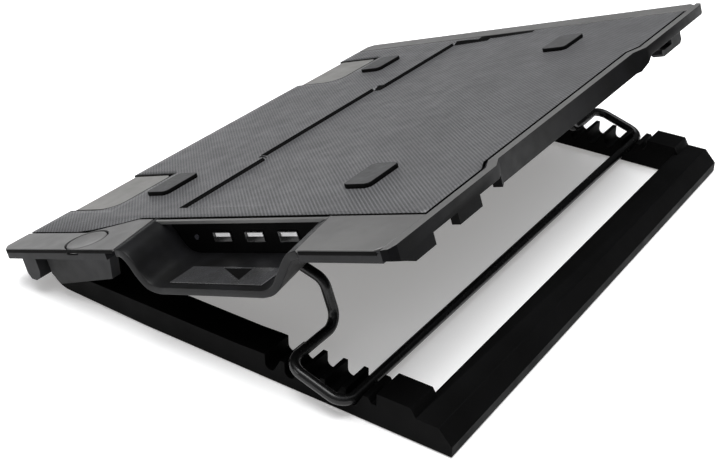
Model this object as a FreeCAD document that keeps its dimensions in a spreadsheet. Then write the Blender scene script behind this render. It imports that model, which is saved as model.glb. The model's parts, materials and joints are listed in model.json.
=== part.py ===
import FreeCAD, Part
import math
import os
import re

import Sketcher
from FreeCAD import Placement, Rotation, Vector

"""Laptop cooling pad on an open floor frame.

A perforated deck with one large fan hinges at its front on a rectangular floor frame. A bent wire
stand hangs under the deck and drops into one of five notches cut across the frame's side rails.

Two local frames are used, both in millimetres:
  base: X to the user's right, Y rearwards from the hinge axis, Z up from the floor.
  deck: X to the right, Y rearwards along the deck's top plane from its front line, Z out of it.
The model's own origin is the centre of its footprint on the floor, +Z up.
"""

SIZES = {
    # deck, the tilting upper half
    "deck_width": 390.0,
    "deck_depth": 280.5,
    "front_lip": 3.0,
    "deck_edge": 6.6,
    "deck_wall": 2.2,
    "trim_thick": 1.2,
    "corner_cut": 4.5,
    "rear_recess": 4.5,
    "recess_half": 86.0,
    "recess_slant": 10.0,
    "bezel_thick": 5.0,
    "bezel_drop": 13.4,
    "bezel_thin": 6.6,
    # perforated panel
    "panel_right_trim": 40.0,
    "panel_left_trim": 17.0,
    "panel_nose_trim": 22.0,
    "panel_gap": 0.3,
    "sheet_thick": 1.2,
    "step_place": 92.0,
    "step_depth": 2.0,
    "step_run": 4.0,
    "ramp_length": 84.0,
    "ledge": 3.0,
    # hinge between deck and floor frame
    "hinge_inset": 32.1,
    "hinge_drop": 18.7,
    "hinge_height": 17.6,
    "rest_tilt": 18.5,
    "pin_radius": 3.0,
    "run_clear": 0.05,
    "side_gap": 0.5,
    "lug_thick": 6.5,
    "lug_length": 50.0,
    "lug_drop": 14.4,
    "lug_boss": 6.5,
    "claw_thick": 11.0,
    # floor frame
    "base_width": 363.8,
    "rail_width": 20.7,
    "rail_height": 15.4,
    "nose_radius": 15.0,
    "knuckle_radius": 9.0,
    "base_reach": 259.0,
    "rear_rail": 23.6,
    "rear_lip": 7.1,
    "rear_slope": 7.8,
    "block_height": 20.4,
    "block_length": 20.0,
    "front_bar": 30.0,
    "front_bar_height": 9.0,
    "shell_wall": 2.4,
    "foot_radius": 7.0,
    "foot_height": 2.0,
    "foot_front": 46.0,
    "foot_proud": 0.8,
    # notch rack
    "notch_pitch": 12.9,
    "notch_count": 5,
    "notch_back": 58.5,
    "seat_centre": 10.5,
    "tooth_top": 16.0,
    "flank_angle": 61.0,
    "rack_margin": 8.0,
    # wire stand
    "rod_radius": 3.0,
    "rod_clear": 0.3,
    "rod_bend": 9.0,
    "pivot_place": 163.9,
    "pivot_drop": 24.0,
    "arm_inset": 51.0,
    "arm_gap": 3.1,
    "knee_run": 30.2,
    "knee_drop": 8.2,
    "shoulder_run": 35.2,
    "shoulder_rise": 11.2,
    "stub_length": 34.0,
    "clip_width": 14.0,
    "clip_half": 6.5,
    # side bay with the hub sockets
    "bay_front": 88.0,
    "bay_rear": 217.5,
    "bay_slant": 8.5,
    "bay_wall_inset": 43.0,
    "bay_wall": 2.5,
    "bay_depth": 22.0,
    "bay_floor": 4.6,
    "bay_ramp": 20.0,
    "port_first": 135.0,
    "port_pitch": 24.0,
    "port_drop": 12.6,
    "port_width": 13.4,
    "port_height": 5.8,
    "port_length": 14.0,
    "port_skin": 0.4,
    "board_thick": 1.6,
    "housing_width": 20.0,
    "housing_drop": 19.5,
    "light_place": 115.0,
    "light_radius": 1.5,
    # fan
    "fan_x": -11.5,
    "fan_y": 158.0,
    "fan_side": 140.0,
    "fan_thick": 14.0,
    "fan_bore": 66.0,
    "fan_hub": 20.0,
    "blade_count": 9,
    "blade_gap": 1.5,
    "shaft_radius": 1.5,
    "plenum_half": 95.0,
    "plenum_drop": 22.0,
    "grille_ring": 1.8,
    "grille_pitch": 8.0,
    # speed dial
    "dial_radius": 12.5,
    "dial_inset": 12.5,
    "dial_place": 60.5,
    "dial_thick": 3.4,
    "dial_gap": 0.5,
    # flip-up stoppers
    "stopper_right": 111.5,
    "stopper_left": -123.0,
    "stopper_width": 53.0,
    "stopper_length": 34.0,
    "stopper_thick": 3.2,
    "stopper_axis": 0.8,
    "stopper_gap": 1.6,
    "well_wall": 1.5,
    "stopper_round": 13.0,
    "stopper_pin": 0.8,
    # rubber pads
    "pad_height": 2.6,
    "front_pad_width": 31.0,
    "front_pad_length": 18.0,
    "front_pad_place": 55.5,
    "rear_pad_width": 31.0,
    "rear_pad_length": 18.0,
    "rear_pad_place": 208.5,
    "pad_right": 105.0,
    "pad_left": -126.0,
    "pad_corner": 4.0,
    # small parts
    "screw_radius": 2.5,
    "hook_length": 34.0,
    "hook_root": 17.0,
    "hook_place": -168.0,
    "hook_drop": 12.0,
    "hook_thick": 4.2,
    "hook_wide": 8.0,
}

doc = FreeCAD.newDocument("cooling_pad")
dims = doc.addObject("Spreadsheet::Sheet", "dims")
for row, (alias, amount) in enumerate(SIZES.items(), start=1):
    dims.set("A%d" % row, alias)
    dims.set("B%d" % row, str(amount))
    dims.setAlias("B%d" % row, alias)
doc.recompute()

kept = []


# ---------------------------------------------------------------- helpers

def bound(text):
    """Write an expression on plain size names as one that reads the sheet."""
    def named(match):
        word = match.group(0)
        return "dims." + word if word in SIZES else word
    return re.sub(r"[A-Za-z_][A-Za-z_0-9]*", named, str(text))


def amount_of(text):
    """The number that an expression on size names has now."""
    return float(dims.evalExpression(bound(text)))


def origin_plane(body, role):
    return next(item for item in body.Origin.OriginFeatures if item.Role == role)


def new_body(label):
    body = doc.addObject("PartDesign::Body", label)
    body.Label = label
    return body


def new_sketch(body, plane, offset):
    sketch = body.newObject("Sketcher::SketchObject", body.Name + "_sketch")
    sketch.AttachmentSupport = (origin_plane(body, plane), [""])
    sketch.MapMode = "FlatFace"
    sketch.setExpression("AttachmentOffset.Base.z", bound(offset))
    return sketch


def pin_point(sketch, geometry, point, across, along):
    """Hold one point of a sketch at two expressions measured from the sketch's origin."""
    for kind, text, axis in (("DistanceX", across, -2), ("DistanceY", along, -1)):
        if abs(amount_of(text)) < 1e-9:
            sketch.addConstraint(Sketcher.Constraint("PointOnObject", geometry, point, axis))
        else:
            index = sketch.addConstraint(
                Sketcher.Constraint(kind, -1, 1, geometry, point, amount_of(text)))
            sketch.setExpression("Constraints[%d]" % index, bound(text))


def outline(body, plane, offset, *loops):
    """A sketch of closed polygons; each corner is a pair of expressions."""
    sketch = new_sketch(body, plane, offset)
    start = 0
    for corners in loops:
        spots = [Vector(amount_of(u), amount_of(v), 0) for u, v in corners]
        count = len(spots)
        sides = [Part.LineSegment(spots[i], spots[(i + 1) % count]) for i in range(count)]
        sketch.addGeometry(sides, False)
        joins = [Sketcher.Constraint("Coincident", start + i, 2, start + (i + 1) % count, 1)
                 for i in range(count)]
        sketch.addConstraint(joins)
        for i, (u, v) in enumerate(corners):
            pin_point(sketch, start + i, 1, u, v)
        start += count
    return sketch


def circles(body, plane, offset, *discs):
    """A sketch of circles; each is a centre and a radius, all expressions."""
    sketch = new_sketch(body, plane, offset)
    for index, (u, v, radius) in enumerate(discs):
        centre = Vector(amount_of(u), amount_of(v), 0)
        sketch.addGeometry(Part.Circle(centre, Vector(0, 0, 1), amount_of(radius)), False)
        pin_point(sketch, index, 3, u, v)
        place = sketch.addConstraint(Sketcher.Constraint("Radius", index, amount_of(radius)))
        sketch.setExpression("Constraints[%d]" % place, bound(radius))
    return sketch


def rectangle(low_u, low_v, high_u, high_v):
    return [(low_u, low_v), (high_u, low_v), (high_u, high_v), (low_u, high_v)]


def pad(body, sketch, length, symmetric=False, back=False):
    feature = body.newObject("PartDesign::Pad", body.Name + "_pad")
    feature.Profile = sketch
    feature.SideType = "Symmetric" if symmetric else "One side"
    feature.Reversed = back
    feature.setExpression("Length", bound(length))
    return feature


def pocket(body, sketch, length=None, symmetric=False, forward=False):
    """Cut along the sketch's normal when forward, else against it; no length cuts through."""
    feature = body.newObject("PartDesign::Pocket", body.Name + "_pocket")
    feature.Profile = sketch
    feature.SideType = "Symmetric" if symmetric else "One side"
    feature.Reversed = forward
    if length is None:
        feature.Type = "ThroughAll"
    else:
        feature.setExpression("Length", bound(length))
    return feature


def soften(body, radius, chosen):
    """Fillet the edges of the body's last feature that the test picks."""
    doc.recompute()
    base = body.Tip
    names = ["Edge%d" % (i + 1) for i, edge in enumerate(base.Shape.Edges) if chosen(edge)]
    fillet = body.newObject("PartDesign::Fillet", body.Name + "_fillet")
    fillet.Base = (base, names)
    fillet.setExpression("Radius", bound(radius))
    return fillet


def runs_along(edge, axis):
    """True for a straight edge parallel to a unit vector."""
    if edge.Curve.TypeId != "Part::GeomLine":
        return False
    return abs(abs(edge.tangentAt(edge.FirstParameter).dot(axis)) - 1) < 1e-6


def keep(item, frame):
    """Record a finished sub-part and put it in its place."""
    item.Placement = frame.multiply(item.Placement)
    kept.append(item)
    return item


def solid_feature(label, shape, frame):
    """A sub-part whose shape is computed, placed after its shape is set."""
    feature = doc.addObject("Part::Feature", label)
    feature.Label = label
    feature.Shape = shape
    feature.Placement = frame
    kept.append(feature)
    return feature


def tube_along(points, radius, bend):
    """A round wire through points, its corners turned into tangent arcs."""
    edges = []
    start = points[0]
    for before, corner, after in zip(points, points[1:], points[2:]):
        into = (before - corner).normalize()
        out = (after - corner).normalize()
        half = into.getAngle(out) / 2
        reach = bend / math.tan(half)
        first = corner + into * reach
        last = corner + out * reach
        middle_line = (into + out).normalize()
        middle = corner + middle_line * (bend / math.sin(half) - bend)
        edges.append(Part.LineSegment(start, first).toShape())
        edges.append(Part.Arc(first, middle, last).toShape())
        start = last
    edges.append(Part.LineSegment(start, points[-1]).toShape())
    path = Part.Wire(edges)
    section = Part.Wire(Part.makeCircle(radius, points[0], points[1] - points[0]))
    solid = path.makePipeShell([section], True, False)
    expected = math.pi * radius ** 2 * path.Length
    print("wire length %.1f, volume ratio %.4f" % (path.Length, solid.Volume / expected))
    return solid


# ---------------------------------------------------------------- frames

DECK_HALF = "deck_width/2"
BASE_HALF = "base_width/2"
RAIL_INNER = "(base_width/2 - rail_width)"
PANEL_RIGHT = "(deck_width/2 - panel_right_trim)"
PANEL_LEFT = "-(deck_width/2 - panel_left_trim)"
PANEL_NOSE = "(deck_width/2 - panel_nose_trim)"
BAY_FACE = "(deck_width/2 - bay_wall_inset)"

tilt = math.radians(amount_of("rest_tilt"))
front_reach = (amount_of("hinge_inset + front_lip") * math.cos(tilt)
               + amount_of("hinge_drop") * math.sin(tilt))
footprint_middle = (amount_of("base_reach") - front_reach) / 2

BASE = Placement(Vector(0, -footprint_middle, 0), Rotation())
HINGE = Placement(Vector(0, -footprint_middle, amount_of("hinge_height")),
                  Rotation(Vector(1, 0, 0), amount_of("rest_tilt")))
DECK = HINGE.multiply(Placement(Vector(0, -amount_of("hinge_inset"), amount_of("hinge_drop")),
                                Rotation()))


def deck_point(x, along, out):
    return DECK.multVec(Vector(x, along, out))


# ---------------------------------------------------------------- floor frame

def make_base_frame():
    body = new_body("base_frame")
    rear = "base_reach"
    block_rear = "base_reach - rear_rail"
    block_front = "base_reach - rear_rail - block_length"
    rack_front = "base_reach - notch_back - notch_pitch*(notch_count - 1) - rack_margin"
    profile = [
        ("0", "hinge_height - nose_radius"), ("60", "foot_proud"), (rear, "foot_proud"),
        (rear, "rear_lip"), ("base_reach - rear_slope", "rail_height"),
        ("base_reach - rear_rail + 3", "rail_height"), (block_rear, "block_height"),
        (block_front, "block_height"), (block_front, "tooth_top"), (rack_front, "tooth_top"),
        ("base_reach - notch_back - notch_pitch*notch_count - rack_margin", "rail_height"),
        ("knuckle_radius", "rail_height"), ("0", "hinge_height")]
    pad(body, outline(body, "YZ_Plane", "0", profile), "base_width", symmetric=True)
    nose = circles(body, "YZ_Plane", "0", ("0", "hinge_height", "nose_radius"))
    pad(body, nose, "base_width", symmetric=True)
    over_nose = outline(body, "YZ_Plane", "0", rectangle(
        "-nose_radius - 1", "hinge_height", "nose_radius + 1", "hinge_height + nose_radius + 1"))
    pocket(body, over_nose, symmetric=True)
    knuckle = circles(body, "YZ_Plane", "0", ("0", "hinge_height", "knuckle_radius"))
    pad(body, knuckle, "base_width", symmetric=True)
    opening = outline(body, "XY_Plane", "0", rectangle(
        "-" + RAIL_INNER, "front_bar", RAIL_INNER, block_rear))
    pocket(body, opening, forward=True)
    over_bar = outline(body, "XY_Plane", "front_bar_height", rectangle(
        "-" + RAIL_INNER, "-nose_radius - 1", RAIL_INNER, "front_bar + 1"))
    pocket(body, over_bar, forward=True)
    over_rear = outline(body, "XY_Plane", "rail_height", rectangle(
        "-" + RAIL_INNER, "base_reach - rear_rail - 1", RAIL_INNER, "base_reach - rear_slope"))
    pocket(body, over_rear, forward=True)

    # One notch: a round seat for the wire and a mouth that leans back at the flank angle.
    seat = "base_reach - notch_back"
    wide = "(rod_radius + rod_clear)"
    sine = math.sin(math.radians(amount_of("flank_angle")))
    cosine = math.cos(math.radians(amount_of("flank_angle")))
    mouth = [
        ("%s - %s" % (seat, wide), "seat_centre"),
        ("%s + %s*%.5f" % (seat, wide, sine), "seat_centre - %s*%.5f" % (wide, cosine)),
        ("%s + %s/%.5f + (tooth_top + 1 - seat_centre)*%.5f" % (seat, wide, sine, cosine / sine),
         "tooth_top + 1"),
        ("%s - %s" % (seat, wide), "tooth_top + 1")]
    seat_cut = pocket(body, circles(body, "YZ_Plane", "0", (seat, "seat_centre", wide)),
                      symmetric=True)
    mouth_cut = pocket(body, outline(body, "YZ_Plane", "0", mouth), symmetric=True)
    doc.recompute()
    rack = body.newObject("PartDesign::LinearPattern", "rack")
    rack.Originals = [seat_cut, mouth_cut]
    rack.Direction = (next(a for a in body.Origin.OriginFeatures if a.Role == "Y_Axis"), [""])
    rack.Reversed = True
    rack.setExpression("Length", bound("notch_pitch*(notch_count - 1)"))
    rack.setExpression("Occurrences", bound("notch_count"))
    body.Tip = rack

    # The small gap between the last tooth and the end block.
    gap = [(block_front, "tooth_top + 1"), ("%s - 5.5" % block_front, "tooth_top + 1"),
           ("%s - 3" % block_front, "tooth_top - 3"), (block_front, "tooth_top - 3")]
    pocket(body, outline(body, "YZ_Plane", "0", gap), symmetric=True)

    bore = circles(body, "YZ_Plane", "0", ("0", "hinge_height", "pin_radius + run_clear"))
    pocket(body, bore, symmetric=True)

    # Hollow underside of the two side rails and the rear rail.
    low = "shell_wall"
    start = "foot_front + foot_radius + 6"
    left = rectangle("-(base_width/2 - %s)" % low, start,
                     "-(base_width/2 - rail_width + %s)" % low, "rack_margin + 110")
    right = rectangle("base_width/2 - rail_width + " + low, start, "base_width/2 - " + low,
                      "rack_margin + 110")
    rear_hollow = rectangle("-(base_width/2 - 26)", "base_reach - rear_rail + 3.2",
                            "base_width/2 - 26", "base_reach - 5.2")
    hollow = outline(body, "XY_Plane", "0", left, right, rear_hollow)
    pocket(body, hollow, "rear_lip - 1.5", forward=True)
    feet = [(x, y, "foot_radius") for x in ("-(base_width/2 - 10.35)", "base_width/2 - 10.35")
            for y in ("foot_front", "base_reach - 13")]
    pocket(body, circles(body, "XY_Plane", "0", *feet), "foot_height", forward=True)
    return keep(body, BASE)


def make_base_feet():
    shapes = []
    for x in ("-(base_width/2 - 10.35)", "base_width/2 - 10.35"):
        for y in ("foot_front", "base_reach - 13"):
            foot = doc.addObject("Part::Cylinder", "foot")
            foot.setExpression("Radius", bound("foot_radius - side_gap"))
            foot.setExpression("Height", bound("foot_height"))
            foot.setExpression("Placement.Base.x", bound(x))
            foot.setExpression("Placement.Base.y", bound(y))
            shapes.append(foot)
    group = doc.addObject("Part::Compound", "base_feet")
    group.Label = "base_feet"
    group.Links = shapes
    return keep(group, BASE)


def make_hinge_pins():
    length = "rail_width + side_gap + lug_thick - 4"
    for side, start in (("left", "-(base_width/2 + side_gap + lug_thick - 2)"),
                        ("right", "base_width/2 + side_gap + lug_thick - 2 - (%s)" % length)):
        pin = doc.addObject("Part::Cylinder", "hinge_pin_" + side)
        pin.Label = "hinge_pin_" + side
        pin.setExpression("Radius", bound("pin_radius"))
        pin.setExpression("Height", bound(length))
        doc.recompute()
        pin.Placement = Placement(Vector(amount_of(start), 0, amount_of("hinge_height")),
                                  Rotation(Vector(0, 1, 0), 90))
        keep(pin, BASE)


# ---------------------------------------------------------------- deck shells

def deck_outline(setback):
    """The deck's plan: a rectangle whose rear edge steps in along the middle."""
    side = "(deck_width/2 - %s)" % setback
    rear = "(deck_depth - bezel_thick)"
    recess = "(deck_depth - bezel_thick - rear_recess)"
    inner = "(recess_half + 2)"
    outer = "(recess_half + recess_slant + 2)"
    return [("-" + side, "-front_lip"), (side, "-front_lip"), (side, rear), (outer, rear),
            (inner, recess), ("-" + inner, recess), ("-" + outer, rear), ("-" + side, rear)]


def panel_outline(grow):
    """The perforated panel's plan, which leaves room for the side trims and the bay."""
    right = "(%s + %s)" % (PANEL_RIGHT, grow)
    nose = "(%s + %s)" % (PANEL_NOSE, grow)
    left = "(%s - %s)" % (PANEL_LEFT, grow)
    front = "(-front_lip + 0.6 - %s)" % grow
    rear = "(deck_depth - bezel_thick - 1 + %s)" % grow
    recess = "(deck_depth - bezel_thick - rear_recess - 1 + %s)" % grow
    return [(left, front), (nose, front), (nose, "50"), (right, "76"), (right, rear),
            ("recess_half + recess_slant + 3", rear), ("recess_half + 3", recess),
            ("-recess_half - 3", recess), ("-recess_half - recess_slant - 3", rear), (left, rear)]


def bay_plan(grow):
    """The plan of the open bay in the deck's right edge."""
    inner = "(%s - bay_wall - %s)" % (BAY_FACE, grow)
    outer = "(deck_width/2 + 2)"
    front = "(bay_front - %s)" % grow
    rear = "(bay_rear + %s)" % grow
    return [(inner, front), (outer, front), (outer, rear + " + bay_slant"),
            (inner, rear + " + bay_slant")]


def lug_profile():
    top = "-deck_edge + 1"
    heel = "hinge_inset + lug_length"
    return [("hinge_inset - 5", top), ("hinge_inset - 5", "-hinge_drop"),
            ("hinge_inset", "-hinge_drop - lug_boss"),
            (heel + " - 3", "-deck_edge - lug_drop"), (heel + " + 1.5", top)]


def claw_profile():
    top = "-deck_edge + 1"
    tip = "-deck_edge - lug_drop"
    return [("11", top), ("11", tip + " + 5"), ("13", tip + " + 1"), ("17", tip),
            ("21", tip + " + 1.5"), ("23", tip + " + 6"), ("23", top)]


def make_deck_tray():
    body = new_body("deck_tray")
    pad(body, outline(body, "XY_Plane", "-deck_edge", deck_outline("0.4")),
        "deck_edge - trim_thick")
    soften(body, "corner_cut", lambda edge: runs_along(edge, Vector(0, 0, 1))
           and abs(edge.CenterOfMass.x) > amount_of("deck_width/2 - 3")
           and edge.CenterOfMass.y < amount_of("deck_depth/2"))
    plenum = rectangle("fan_x - plenum_half", "fan_y - plenum_half",
                       "fan_x + plenum_half", "fan_y + plenum_half")
    pad(body, outline(body, "XY_Plane", "-plenum_drop", plenum), "plenum_drop - deck_edge + 1")
    soften(body, "pad_corner*2", lambda edge: runs_along(edge, Vector(0, 0, 1))
           and edge.CenterOfMass.z < -amount_of("deck_edge")
           and edge.Length > 5)
    inner_face = "(%s - bay_wall)" % BAY_FACE
    housing = rectangle(inner_face + " - housing_width", "bay_front + 16", inner_face + " - 0.1",
                        "bay_rear - 12")
    pad(body, outline(body, "XY_Plane", "-housing_drop", housing), "housing_drop - deck_edge + 1")
    lug_start = "base_width/2 + side_gap"
    for plane_place, back in ((lug_start, False), ("-(%s)" % lug_start, True)):
        pad(body, outline(body, "YZ_Plane", plane_place, lug_profile()), "lug_thick", back=back)
        pad(body, outline(body, "YZ_Plane", plane_place, claw_profile()), "claw_thick", back=back)

    rim = outline(body, "XY_Plane", "-trim_thick", panel_outline("0"))
    pocket(body, rim, "step_depth + 0.4")
    inner = outline(body, "XY_Plane", "-trim_thick", panel_outline("-ledge"))
    pocket(body, inner, "deck_edge - deck_wall - trim_thick")
    inside = rectangle("fan_x - plenum_half + deck_wall", "fan_y - plenum_half + deck_wall",
                       "fan_x + plenum_half - deck_wall", "fan_y + plenum_half - deck_wall")
    pocket(body, outline(body, "XY_Plane", "-trim_thick - 1", inside),
           "plenum_drop - deck_wall - trim_thick - 1")
    pocket(body, circles(body, "XY_Plane", "-trim_thick - 1", ("fan_x", "fan_y", "fan_bore")))
    room = rectangle(inner_face + " - housing_width + deck_wall", "bay_front + 18",
                     inner_face + " + 3", "bay_rear - 14")
    pocket(body, outline(body, "XY_Plane", "-trim_thick - 1", room),
           "housing_drop - deck_wall - trim_thick - 1")
    pocket(body, outline(body, "XY_Plane", "1", bay_plan("0")))

    dial_x = "(deck_width/2 - dial_inset)"
    pocket(body, circles(body, "XY_Plane", "0", (dial_x, "dial_place", "dial_radius + dial_gap")),
           "dial_thick + dial_gap")
    pocket(body, circles(body, "XY_Plane", "0", (dial_x, "dial_place", "5.5")), "deck_edge - 1")
    for middle in ("stopper_right", "stopper_left"):
        half = "(stopper_width/2 + stopper_gap + well_wall + 0.1)"
        seat = rectangle("%s - %s" % (middle, half), "-front_lip - 1", "%s + %s" % (middle, half),
                         "stopper_length + stopper_gap + well_wall")
        pocket(body, outline(body, "XY_Plane", "0", seat), "deck_edge - 1.6")
    pin_bore = ("hinge_inset", "-hinge_drop", "pin_radius + run_clear")
    pocket(body, circles(body, "YZ_Plane", "0", pin_bore),
           "base_width + (side_gap + lug_thick - 1.6)*2", symmetric=True)
    posts = [(x, y, "3.2") for x, y in POSTS]
    pad(body, circles(body, "XY_Plane", "-deck_edge + 1", *posts), "deck_edge - 1 - sheet_thick")
    screws = [(x, y, "screw_radius + run_clear") for x, y in SCREWS]
    pocket(body, circles(body, "XY_Plane", "-deck_edge", *screws), "deck_wall + 1",
           forward=True)
    return keep(body, DECK)


POSTS = [("-163", "20"), ("152", "18"), ("-60", "20"), ("45", "20"), ("-150", "250"),
         ("130", "250"), ("-70", "deck_depth - 18"), ("70", "deck_depth - 18")]
SCREWS = [("-(deck_width/2 - 9)", "12"), ("-(deck_width/2 - 9)", "150"),
          ("-(deck_width/2 - 9)", "262"), ("deck_width/2 - 12", "262"),
          ("deck_width/2 - 12", "6"), ("0", "deck_depth - 17")]


def make_mesh_panel():
    body = new_body("mesh_panel")
    foot = "step_place + step_run"
    crease = "step_place + ramp_length"
    rear = "deck_depth"
    profile = [
        ("-front_lip - 2", "0"), ("step_place", "0"), (foot, "-step_depth"), (crease, "0"),
        (rear, "0"), (rear, "-sheet_thick"), (crease, "-sheet_thick"),
        (foot, "-step_depth - sheet_thick"), ("step_place", "-sheet_thick"),
        ("-front_lip - 2", "-sheet_thick")]
    pad(body, outline(body, "YZ_Plane", PANEL_LEFT, profile), "deck_width")
    around = rectangle("-deck_width", "-deck_depth", "deck_width*2", "deck_depth*2")
    trim = outline(body, "XY_Plane", "1", around, panel_outline("-panel_gap"))
    pocket(body, trim)
    for middle in ("stopper_right", "stopper_left"):
        half = "(stopper_width/2 + stopper_gap + well_wall + 0.2)"
        seat = rectangle("%s - %s" % (middle, half), "-front_lip - 3", "%s + %s" % (middle, half),
                         "stopper_length + stopper_gap + well_wall + 0.2")
        pocket(body, outline(body, "XY_Plane", "1", seat))
    return keep(body, DECK)


def make_trim(label, corners, holes=()):
    body = new_body(label)
    pad(body, outline(body, "XY_Plane", "-trim_thick", corners), "trim_thick")
    if holes:
        pocket(body, circles(body, "XY_Plane", "0", *holes))
    return keep(body, DECK)


def make_trims():
    edge = DECK_HALF
    nose = "(%s + panel_gap)" % PANEL_NOSE
    right = "(%s + panel_gap)" % PANEL_RIGHT
    front = [
        (nose, "-front_lip"), (edge + " - corner_cut", "-front_lip"), (edge, "-front_lip + 4"),
        (edge, "bay_front + bay_slant"), (right, "bay_front"), (right, "76.5"), (nose, "50.5")]
    make_trim("front_trim_right", front,
              [("deck_width/2 - dial_inset", "dial_place", "dial_radius + dial_gap")])
    rear_line = "deck_depth - bezel_thick"
    rear = [
        (right, "bay_rear"), (edge, "bay_rear + bay_slant"), (edge, rear_line + " - 4"),
        (edge + " - 4", rear_line), (right, rear_line)]
    make_trim("rear_trim_right", rear)
    left = "-(deck_width/2 - panel_left_trim + panel_gap)"
    strip = [
        (left, "-front_lip"), (left, rear_line), ("-%s + 4" % edge, rear_line),
        ("-" + edge, rear_line + " - 4"), ("-" + edge, "-front_lip + 4"),
        ("-%s + corner_cut" % edge, "-front_lip")]
    make_trim("side_trim_left", strip)


def make_rear_bezel():
    body = new_body("rear_bezel")
    side = DECK_HALF
    inner = "deck_depth - bezel_thick"
    recess = "deck_depth - rear_recess"
    wide = "recess_half + recess_slant"
    rim = [
        (side, inner), (side + " - 1.5", "deck_depth - 1.4"), (side + " - 6.5", "deck_depth"),
        (wide, "deck_depth"), ("recess_half", recess), ("-recess_half", recess),
        ("-(%s)" % wide, "deck_depth"), ("-%s + 6.5" % side, "deck_depth"),
        ("-%s + 1.5" % side, "deck_depth - 1.4"), ("-" + side, inner),
        ("-(%s) - 2" % wide, inner), ("-recess_half - 2", inner + " - rear_recess"),
        ("recess_half + 2", inner + " - rear_recess"), (wide + " + 2", inner)]
    pad(body, outline(body, "XY_Plane", "-bezel_drop", rim), "bezel_drop")
    below = "-bezel_drop - 1"
    slots = [rectangle(low, below, high, "-bezel_thin - 0.6")
             for low, high in (("138", "160"), ("92", "116"))]
    near = [(side + " + 1", below), (side + " + 1", "-bezel_thin + 1"),
            (side + " - 0.5", "-bezel_thin + 1"), (side + " - 17", "-bezel_drop + 0.4"),
            (side + " - 17", below)]
    far = [("-recess_half - 2", below), ("-(%s) - 6" % wide, "-bezel_thin"),
           ("-%s - 1" % side, "-bezel_thin"), ("-%s - 1" % side, below)]
    for cut in slots + [near, far]:
        sketch = outline(body, "XZ_Plane", "-(deck_depth + 1)", cut)
        pocket(body, sketch, "bezel_thick + rear_recess + 3", forward=True)
    return keep(body, DECK)


# ---------------------------------------------------------------- side bay and hub

def bay_section():
    """The bay's bent floor seen from the side: an outer line, then an inner line back."""
    front = "(bay_front + bay_slant)"
    rear = "(bay_rear + bay_slant)"
    low = "(-bay_depth - bay_floor)"
    return [
        ("bay_front + 0.1", "-trim_thick"), ("bay_front + 0.1", "-deck_edge"),
        (front + " + 6.5", "-deck_edge - 2"), (front + " + 9", "-bay_depth + 4"),
        (front + " + bay_ramp - 3", low + " + 1.6"), (front + " + bay_ramp + 3", low),
        (rear + " - 28", low), (rear + " - 20", low + " + 3"), (rear + " - 9", "-deck_edge - 5"),
        (rear + " - 0.1", "-deck_edge + 0.5"), (rear + " - 0.1", "-trim_thick"),
        (rear + " - 6", "-trim_thick"), (rear + " - 12", "-deck_edge - 3"),
        (rear + " - 22", "-bay_depth + 3"), (rear + " - 29", "-bay_depth"),
        (front + " + bay_ramp + 5", "-bay_depth"), (front + " + bay_ramp - 1", "-bay_depth + 2.4"),
        (front + " + 13", "-bay_depth/2"), (front + " + 3", "-trim_thick")]


def under_panel(gap):
    """The line just under the perforated panel, from the bay's front to its rear."""
    low = "-sheet_thick - %s" % gap
    return [
        ("bay_rear + bay_slant - 0.1", low), ("step_place + ramp_length", low),
        ("step_place + step_run", low + " - step_depth"), ("step_place - 0.5", low),
        ("bay_front + 0.1", low)]


def make_hub_bay():
    body = new_body("hub_bay")
    inner = BAY_FACE
    pad(body, outline(body, "YZ_Plane", inner, bay_section()), "bay_wall_inset")
    foot = "-bay_depth - bay_floor + 0.4"
    wall = [("bay_front + 0.1", "-deck_edge"), ("bay_front + bay_slant + bay_ramp", foot),
            ("bay_rear + bay_slant - 28", foot), ("bay_rear + bay_slant - 0.1", "-deck_edge")]
    pad(body, outline(body, "YZ_Plane", inner, wall + under_panel("0.1")), "bay_wall", back=True)
    overhang = rectangle(inner, "bay_front - 1", PANEL_RIGHT + " + 0.1",
                         "bay_front + bay_slant + 8")
    pocket(body, outline(body, "XY_Plane", "-step_depth - sheet_thick - 0.1", overhang),
           forward=True)
    for number in range(3):
        middle = "(port_first + %d*port_pitch)" % number
        hole = rectangle(middle + " - port_width/2 - 0.3", "-port_drop - port_height/2 - 0.3",
                         middle + " + port_width/2 + 0.3", "-port_drop + port_height/2 + 0.3")
        pocket(body, outline(body, "YZ_Plane", inner, hole), "bay_wall + 1", forward=False)
    rear = "bay_rear + bay_slant"
    strip = [("bay_front + 1", "-0.3"), ("bay_rear - 0.3", "-0.3"), ("bay_rear - 0.3", "-trim_thick - 0.05"),
             (rear + " - 3", "-trim_thick - 0.05"), (rear + " - 3", "-trim_thick - 1.6"),
             ("bay_front + 1", "-trim_thick - 1.6")]
    pad(body, outline(body, "YZ_Plane", PANEL_RIGHT + " + 0.3", strip), "2.5")
    light = circles(body, "YZ_Plane", inner, ("light_place", "-port_drop", "light_radius + 0.05"))
    pocket(body, light, "bay_wall + 1", forward=False)
    return keep(body, DECK)


def make_bay_plate():
    body = new_body("bay_plate")
    plate = rectangle("deck_width/2 - 24", "bay_front + bay_slant + bay_ramp + 9", "deck_width/2 - 5",
                      "bay_rear + bay_slant - 32")
    pad(body, outline(body, "XY_Plane", "-bay_depth", plate), "0.8")
    return keep(body, DECK)


def box_at(label, low, size):
    """A Part box from expressions for its low corner and its size."""
    box = doc.addObject("Part::Box", label)
    for name, text in zip(("Length", "Width", "Height"), size):
        box.setExpression(name, bound(text))
    for name, text in zip("xyz", low):
        box.setExpression("Placement.Base." + name, bound(text))
    return box


def group_of(label, items):
    group = doc.addObject("Part::Compound", label)
    group.Label = label
    group.Links = items
    return group


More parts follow.
